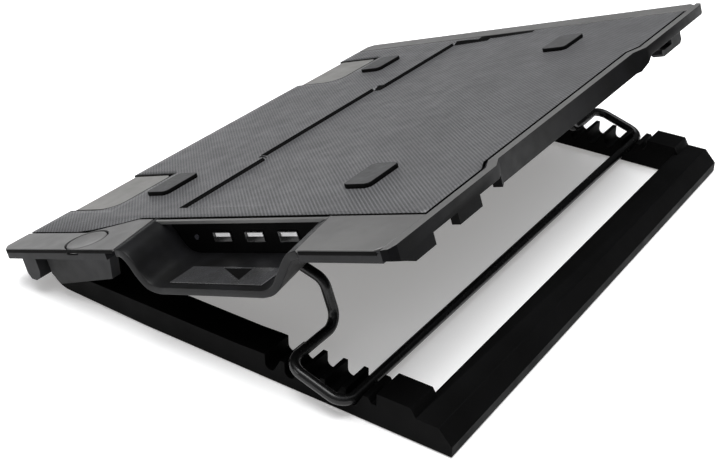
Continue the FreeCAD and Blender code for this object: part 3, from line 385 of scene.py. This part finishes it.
along = lines(FRONT_V, WELL_REAR, 41, 51, 61.5, 77, 87, 88.9, 89, 90.2, 94.5, 95.7, 100, CREASE_V,
              REAR_FROM, FLAT_REAR, gap=5.0)
flat_x, flat_v = np.meshgrid(across, along)
share = np.clip((flat_x - SIDE_FROM) / (STRAIGHT_X - SIDE_FROM), 0, 1)
sheet_x = flat_x + share * (np.interp(flat_v, RIGHT_V, RIGHT_X) - STRAIGHT_X)
reach = np.clip((flat_v - REAR_FROM) / (FLAT_REAR - REAR_FROM), 0, 1)
sheet_v = flat_v + reach * (np.interp(sheet_x, REAR_X, REAR_V) - FLAT_REAR)
print(flat_x.shape, "points in the sheet's grid")

# %% Press the sheet
SHEET_PROUD, SHEET_THICK = 0.05, 1.3
heights = sheet_height(sheet_x, sheet_v)
middle_x = (flat_x[1:, 1:] + flat_x[:-1, :-1]) / 2
middle_v = (flat_v[1:, 1:] + flat_v[:-1, :-1]) / 2
keep = np.ones_like(middle_x, bool)
for centre in STOPPERS.values():
    keep &= ~((abs(middle_x - centre) < WELL_HALF) & (middle_v < WELL_REAR))
sheet = grid_piece("perforated_sheet", on_deck(sheet_x, sheet_v, heights + SHEET_PROUD), keep,
                   np.stack([sheet_x, sheet_v], -1))
thicken(sheet, SHEET_THICK)
smooth(sheet, 20)
fit_out(sheet, "deck", "panel_grey", SHEET, "mesh_panel")

# %% [markdown]
# On the real pad the step shows as a dark groove and the sheet's cut rim as a dark line, both shade
# in a gap.
# Both get painted shade as a second, near-black finish: the cells that fall steeply, and the rim
# that
# Solidify makes.

# %% Painted shade in the groove and on the rim
GROOVE_DROP, GROOVE_SIDE = 0.7, 0.5
sheet.modifiers["wall"].material_offset_rim = 1
sheet.data.materials.append(BLACK_AND_PAINTED_SHADE)
drop = (heights[:-1] - heights[1:])[:, :-1]
climb = (heights[:, :-1] - heights[:, 1:])[:-1]
steep = ((drop > GROOVE_DROP) | (climb > GROOVE_SIDE)).ravel()[keep.ravel()]
sheet.data.polygons.foreach_set("material_index", steep.astype(np.int32))
sheet.data.update()
print(int(steep.sum()), "cells in the groove at the step")

# %% [markdown]
# Each stopper has one corner with a large radius, and the sheet follows it. A small web fills the
# square corner of the opening up to that curve: one row of points runs along the quarter circle,
# the other along the two straight sides. The rows are swapped so that the faces look out.

# %% Round corners of the stoppers' openings
CORNER, TUCK = 15.9, 0.02
quarter = np.linspace(0, math.pi / 2, 25)
spot = np.linspace(0, 2, 25)
for side, centre in STOPPERS.items():
    corner_x, corner_v = centre + WELL_HALF + TUCK, WELL_REAR + TUCK
    arc = np.stack([corner_x - CORNER * (1 - np.cos(quarter)),
                    corner_v - CORNER * (1 - np.sin(quarter))], -1)
    square = np.stack([corner_x - CORNER * np.clip(spot - 1, 0, 1),
                       corner_v - CORNER * (1 - np.clip(spot, 0, 1))], -1)
    plan = np.stack([square, arc])
    web = grid_piece("sheet_web_" + side, on_deck(plan[..., 0], plan[..., 1], SHEET_PROUD),
                     None, plan)
    thicken(web, SHEET_THICK)
    # The web's cut rim gets the same near-black painted shade as the sheet's rim.
    web.modifiers["wall"].material_offset_rim = 1
    fit_out(web, "deck", "panel_grey", SHEET)
    web.data.materials.append(BLACK_AND_PAINTED_SHADE)

# %% [markdown]
# The hub bay is a scoop in the right edge: a rounded lip rolls down from the front trim, runs
# along a floor and climbs back to the rear trim. Its front and rear lines slant, so the same
# curve is carried from the inside wall out to the edge and shifted rearwards on the way.

# %% A smooth curve through a few stations
def through(stations, count):
    """Catmull-Rom curve: each span is the cubic that meets its stations along their chords."""
    p = np.asarray(stations, float)
    p = np.vstack([2 * p[0] - p[1], p, 2 * p[-1] - p[-2]])
    t = np.linspace(0, len(p) - 3 - 1e-9, count)
    k = t.astype(int)
    f = (t - k)[:, None]
    a, b, c, d = p[k], p[k + 1], p[k + 2], p[k + 3]
    return 0.5 * (2 * b + (c - a) * f + (2 * a - 5 * b + 4 * c - d) * f ** 2
                  + (3 * b - a - 3 * c + d) * f ** 3)


# Each station is (v, w) on the bay's line, from the front trim to the rear one.
BAY_STATIONS = [(88.2, -0.25), (92.5, -0.5), (97.0, -3.0), (100.5, -8.0), (103.5, -14.5),
                (107.5, -19.8), (113.5, -21.9), (121, -22.0), (150, -22.0), (180, -22.0),
                (188.5, -21.8), (194.5, -19.5), (200.5, -13.0), (206, -6.5), (211, -2.2),
                (217.3, -0.25)]
curve = through(BAY_STATIONS, 110)
print("the bay reaches", round(-float(curve[:, 1].min()), 1), "mm below the deck's top")

# %% The scooped shell of the bay
BAY_IN, BAY_OUT, BAY_THICK = 152.2, 194.9, 4.4
SLANT, SLANT_FROM, SLANT_OVER = 8.5, 155, 40
run = np.linspace(0, 1, 12)
bay_x = BAY_IN + (BAY_OUT - BAY_IN) * run[:, None] + 0 * curve[None, :, 0]
bay_v = curve[None, :, 0] + SLANT * (bay_x - SLANT_FROM) / SLANT_OVER
shell = grid_piece("bay_shell", on_deck(bay_x, bay_v, curve[None, :, 1])[::-1])
thicken(shell, BAY_THICK)
ease_edges(shell, 0.9, 3, 50)
smooth(shell, 40)
fit_out(shell, "deck", "gloss_black", BAY_SATIN, "hub_bay")

# %% [markdown]
# The wall behind the sockets is a flat strip with three openings. Laying grid lines on the
# openings' edges lets the same grid builder leave the right cells out. Its lower edge is lifted
# at both ends, so that it stays behind the scoop.

# %% The socket wall
SOCKETS = [135.0, 159.0, 183.0]
SOCKET_W, SOCKET_HALF, SOCKET_RISE = -12.6, 6.9, 3.2
WALL_X, WALL_THICK = 152.0, 2.3
WALL_FRONT, WALL_REAR, WALL_LOW, WALL_HIGH = 88.5, 225.5, -25.5, -1.3
LIFT_V = [88, 98, 108, 118, 198, 208, 222]
LIFT_W = [-9, -16, -24, WALL_LOW, WALL_LOW, -20, -8]
sides = [centre + sign * SOCKET_HALF for centre in SOCKETS for sign in (-1, 1)]
grid_v, grid_w = np.meshgrid(
    lines(WALL_FRONT, *sides, WALL_REAR, gap=9.0),
    lines(WALL_LOW, SOCKET_W - SOCKET_RISE, SOCKET_W + SOCKET_RISE, WALL_HIGH, gap=5.0))
mid_v = (grid_v[1:, 1:] + grid_v[:-1, :-1]) / 2
mid_w = (grid_w[1:, 1:] + grid_w[:-1, :-1]) / 2
inside = np.zeros_like(mid_v, bool)
for centre in SOCKETS:
    inside |= (abs(mid_v - centre) < SOCKET_HALF) & (abs(mid_w - SOCKET_W) < SOCKET_RISE)
grid_w = np.maximum(grid_w, np.interp(grid_v, LIFT_V, LIFT_W))
wall = grid_piece("socket_wall", on_deck(WALL_X, grid_v, grid_w), ~inside)
thicken(wall, WALL_THICK)
ease_edges(wall, 0.35, 2, 50)
fit_out(wall, "deck", "gloss_black", BLACK_AND_PAINTED_SHADE)

# %% [markdown]
# A narrow strip runs over the wall and joins the front trim to the rear one. It is a ring, the
# strip's section, carried along v.

# %% The strip over the socket wall
STRIP_X = np.array([155.4, 155.7, 157.5, 157.8, 157.8, 155.4])
STRIP_W = np.array([-0.6, -0.3, -0.3, -0.6, -2.2, -2.2])
strip_v = lines(88.9, 217.2, gap=8.0)
strip = grid_piece("bay_top_strip", on_deck(STRIP_X[None, :], strip_v[:, None], STRIP_W[None, :]),
                   wrap=True)
smooth(strip, 40)
fit_out(strip, "deck", "trim_silver", TRIM_GREY)

# %% [markdown]
# The floor of the bay carries a plate with a plain triangle on it. Both are thin plates with
# eased edges, made from their outline by carrying it up and inwards.

# %% Plates from an outline
def plate(name, outline, low, high, ease):
    """Rings of the outline: set in by the easing at low, whole between, set in again at high."""
    ring = np.asarray(outline, float)
    centre = ring.mean(0)
    away = ring - centre
    size = np.linalg.norm(away, axis=1, keepdims=True)
    inset = centre + away * (size - ease) / size
    rings = [(inset, low), (ring, low + ease), (ring, high - ease), (inset, high)]
    points = np.concatenate([on_deck(r[:, 0], r[:, 1], w) for r, w in rings])
    count = len(ring)
    faces = quads(len(rings), count, wrap=True).tolist()
    faces += [list(range(3 * count, 4 * count)), list(range(count))[::-1]]
    mesh = bpy.data.meshes.new(name)
    mesh.from_pydata(points.tolist(), [], faces)
    return link_object(name, mesh)


LABEL_OUTLINE = [(171, 126), (190, 126), (190, 192), (171, 192)]
ARROW_OUTLINE = [(173, 151.4), (185.6, 172.6), (173, 171.2)]
label = plate("label_plate", LABEL_OUTLINE, -22.0, -21.3, 0.35)
fit_out(label, "deck", "plate_grey", PLATE_GREY, "bay_plate")
arrow = plate("plate_triangle", ARROW_OUTLINE, -21.35, -21.1, 0.1)
fit_out(arrow, "deck", "gloss_black", BLACK_AND_PAINTED_SHADE)

# %% [markdown]
# The speed dial is a flat disc set in the front trim, with its rim out over the deck's edge. It
# is a surface of revolution whose rim is pushed in and out a little as it goes round, which
# gives the fine grip.

# %% The speed dial
DIAL_X, DIAL_V = 182.5, 60.5
GRIPS, GRIP_DEPTH, GRIP_FROM = 60, 0.16, 11.8
DIAL_RADII = [0.02, 6, 9.7, 10.7, 11.5, 11.85, 11.95, 11.95, 11.7, 10.8, 0.02]
DIAL_LEVELS = [-0.62, -0.5, -0.3, -0.18, -0.3, -0.8, -1.4, -2.8, -3.3, -3.5, -3.5]
turn = np.linspace(0, 2 * math.pi, GRIPS * 6, endpoint=False)
radius, level = np.array(DIAL_RADII)[:, None], np.array(DIAL_LEVELS)[:, None]
grip = np.where(radius > GRIP_FROM, GRIP_DEPTH, 0.0) * (np.cos(GRIPS * turn)[None, :] - 1) / 2
dial_points = on_deck(DIAL_X + (radius + grip) * np.cos(turn),
                      DIAL_V + (radius + grip) * np.sin(turn), level)
dial = grid_piece("dial_knob", dial_points[::-1], wrap=True)
smooth(dial, 30)
fit_out(dial, "dial", "trim_silver", TRIM_GREY, "speed_dial")

# %% [markdown]
# A painted shadow runs under the right trims, where they sit on the tray. Two narrow black ribbons
# just proud of the tray's side make it, standing in for the shade in that gap.

# %% The painted shadow under the right trims
LINE_X, LINE_THICK = 195.06, 0.3
LINE_LEVELS = np.array([-2.4, -1.4, -0.5])
for name, start, stop in (("front", 1.5, 95.5), ("rear", 227.5, 273.5)):
    ribbon_v = lines(start, stop, gap=8.0)[:, None]
    ribbon = grid_piece("trim_shadow_line_" + name, on_deck(LINE_X, ribbon_v, LINE_LEVELS[None, :]))
    thicken(ribbon, LINE_THICK)
    fit_out(ribbon, "deck", "gloss_black", BLACK_AND_PAINTED_SHADE)

# %% [markdown]
# The rest of the parts already have the right shape, but their edges are perfectly sharp, and
# nothing moulded is. A copy of each is merged, its flat triangles are joined into whole faces,
# and a small bevel eases the edges so that they catch the light.

# %% How a moulded part is eased
MERGE_METRES, FLAT_DEGREES = 1e-6, 0.5


def eased_copy(name, millimetres, material, slot, body):
    work = bmesh.new()
    work.from_mesh(frame["nodes"][name].data)
    bmesh.ops.remove_doubles(work, verts=work.verts, dist=MERGE_METRES)
    bmesh.ops.dissolve_limit(work, angle_limit=math.radians(FLAT_DEGREES), verts=work.verts,
                             edges=work.edges)
    mesh = bpy.data.meshes.new(name + "_shape")
    work.to_mesh(mesh)
    work.free()
    piece = link_object(name + "_finished", mesh)
    ease_edges(piece, millimetres)
    smooth(piece, 32)
    return fit_out(piece, body, slot, material, name)


def paint_faces(piece, material, top):
    """Give a second finish to the faces that look out of the deck, or to all the others."""
    piece.data.materials.append(material)
    for face in piece.data.polygons:
        if (face.normal.dot(Vector(NORMAL)) > 0.9) == top:
            face.material_index = 1


# %% [markdown]
# Some parts have two tones. The bezel is glossy black with a grey top. The stoppers and the pads
# get painted shade round their sides, darker than on top, which draws the fine dark outline round
# each.

# %% The moulded parts, eased
EASED = [
    ("base_frame", 0.7, FRAME_BLACK, "base_black", "base"),
    ("deck_tray", 0.5, DECK_BLACK, "deck_charcoal", "deck"),
    ("front_trim_right", 0.3, TRIM_GREY, "trim_silver", "deck"),
    ("rear_trim_right", 0.3, TRIM_GREY, "trim_silver", "deck"),
    ("side_trim_left", 0.3, TRIM_GREY, "trim_silver", "deck"),
    ("rear_bezel", 0.5, GLOSS_BLACK, "gloss_black", "deck"),
    ("stopper_right", 0.2, STOP_GREY, "trim_silver", "stopper_right"),
    ("stopper_left", 0.2, STOP_GREY, "trim_silver", "stopper_left"),
    ("stopper_well_right", 0.3, WELL_DARK_AND_SIDE_SHADE, "well_charcoal", "deck"),
    ("stopper_well_left", 0.3, WELL_DARK_AND_SIDE_SHADE, "well_charcoal", "deck"),
    ("stand_clip_right", 0.4, DECK_BLACK, "deck_charcoal", "deck"),
    ("stand_clip_left", 0.4, DECK_BLACK, "deck_charcoal", "deck"),
    ("cable_hook", 0.3, DECK_BLACK, "deck_charcoal", "deck")]
PADS = ["rubber_pad_%s_%s" % (row, side) for row in ("front", "rear") for side in STOPPERS]
EASED += [(pad, 0.25, PAD_RUBBER, "pad_rubber", "deck") for pad in PADS]
# The bezel's grey top is its own second tone; the dark sides of the stoppers and pads are painted
# shade.
SECOND_TONE_AND_SIDE_SHADE = {"rear_bezel": (TRIM_GREY, True), "stopper_right": (WELL_DARK_AND_SIDE_SHADE, False),
                 "stopper_left": (WELL_DARK_AND_SIDE_SHADE, False)}
SECOND_TONE_AND_SIDE_SHADE.update((pad, (BLACK_AND_PAINTED_SHADE, False)) for pad in PADS)
for entry in EASED:
    eased = eased_copy(*entry)
    if entry[0] in SECOND_TONE_AND_SIDE_SHADE:
        paint_faces(eased, *SECOND_TONE_AND_SIDE_SHADE[entry[0]])

# %% [markdown]
# What is left keeps its own mesh and only gets a finish.

# %% Finishes for the parts that keep their shape
PLAIN = {
    ROD_BLACK: ["wire_stand"], FOOT_RUBBER: ["base_feet"],
    PIN_STEEL: ["hinge_pin_left", "hinge_pin_right", "stopper_pin_left", "stopper_pin_right",
                "fan_screws", "deck_screws"],
    SHELL_METAL: ["usb_sockets", "upstream_socket"], TONGUE_WHITE_AND_GLOW: ["usb_tongues"],
    BOARD_GREEN: ["hub_board"], LENS_CLEAR: ["status_light"],
    FAN_BLACK: ["fan_frame", "fan_motor", "fan_guard", "fan_rotor", "dial_sensor"]}
for material, names in PLAIN.items():
    for name in names:
        part = frame["nodes"][name]
        part.data.materials.clear()
        part.data.materials.append(material)
        smooth(part, 32)
print(sum(len(names) for names in PLAIN.values()), "parts finished in place")

# %% [markdown]
# The set is a wide pale floor. It glows a little, as a light table does, which fills the space
# under the deck. Its grid is fine near the pad and coarse far away.

# %% The floor
FLOOR_TICKS = [-40, -15, -6, -3, *np.linspace(-1.5, 1.5, 7), 3, 6, 15, 40]
floor_x, floor_y = np.meshgrid(FLOOR_TICKS, FLOOR_TICKS)
floor = grid_piece("floor", np.stack([floor_x, floor_y, 0 * floor_x], -1))
LIT_FLOOR = finish("floor_white", grey(0.84), grey(0.86), (0.7, 0.8), 3.0, 0.002, 400,
                   Specular_IOR_Level=0.2, Emission_Strength=0.28,
                   Emission_Color=(1, 0.985, 0.97, 1))
floor.data.materials.append(LIT_FLOOR)
print("floor", 2 * FLOOR_TICKS[-1], "metres wide")

# %% [markdown]
# Three round, soft lights hang over the pad: a key above its right side, a weak one from the
# front right, and a very wide one on top. Each line gives a place, a point to look at, a
# diameter in metres and a power in watts.

# %% The lights
LIGHTS = [("key", (0.5, 0.1, 1.9), (0, 0, 0.05), 1.2, 22),
          ("side", (1.7, -0.9, 0.6), (0.1, -0.05, 0.05), 0.7, 5),
          ("top", (-0.3, 0.0, 2.3), (0, 0, 0), 2.2, 42)]
for name, place, target, size, watts in LIGHTS:
    lamp = bpy.data.lights.new(name, "AREA")
    lamp.shape = "DISK"
    lamp.size = size
    lamp.energy = watts
    holder = link_object(name, lamp)
    holder.location = place
    holder.rotation_euler = (Vector(target) - Vector(place)).to_track_quat("-Z", "Y").to_euler()
print(len(LIGHTS), "lights,", sum(light[4] for light in LIGHTS), "watts")

# %% [markdown]
# The sky is a soft box overhead, faint on the right and dim in front, where the tilted sheet
# would mirror it back. Two smooth ramps, on a direction's height and on its lean to one side,
# make it.

# %% The studio sky
OVERHEAD = ((0, 0, 1), 0.6, 0.92, 0.06, 1.5)
RIGHT_GLOW = ((0.85, 0.35, 0.3), 0.45, 0.95, 0.0, 0.22)
world = bpy.data.worlds.new("studio")
bpy.context.scene.world = world
world.use_nodes = True
sky = world.node_tree
outwards = node(sky, "ShaderNodeTexCoord").outputs["Generated"]
total = node(sky, "ShaderNodeMath", operation="ADD")
for term, (direction, start, end, low, high) in zip(total.inputs, (OVERHEAD, RIGHT_GLOW)):
    lean = node(sky, "ShaderNodeVectorMath", operation="DOT_PRODUCT")
    lean.inputs[1].default_value = Vector(direction).normalized()
    sky.links.new(outwards, lean.inputs[0])
    ramp = node(sky, "ShaderNodeMapRange", interpolation_type="SMOOTHSTEP")
    set_range(ramp, start, end, low, high)
    sky.links.new(lean.outputs["Value"], ramp.inputs["Value"])
    sky.links.new(ramp.outputs["Result"], term)
background = sky.nodes["Background"]
sky.links.new(total.outputs["Value"], background.inputs["Strength"])
background.inputs["Color"].default_value = (0.96, 0.975, 1.0, 1)
bpy.context.scene.view_settings.view_transform = "Standard"
print("sky from", OVERHEAD[3], "to", OVERHEAD[4] + RIGHT_GLOW[4])

# %% [markdown]
# The camera looks down at the pad from its right and rear, through a lens of about 60 mm.

# %% The camera
YAW, PITCH = 0.595, 0.528
camera = bpy.data.cameras.new("camera")
camera.lens = 59.435
camera.sensor_width = 36.0
view = link_object("camera", camera)
forward = Vector((-math.cos(YAW) * math.cos(PITCH), -math.sin(YAW) * math.cos(PITCH),
                  -math.sin(PITCH)))
view.location = (0.5711, 0.3592, 0.3841)
view.rotation_euler = forward.to_track_quat("-Z", "Y").to_euler()
bpy.context.scene.camera = view
print("camera", round(view.location.length, 3), "metres from the middle")
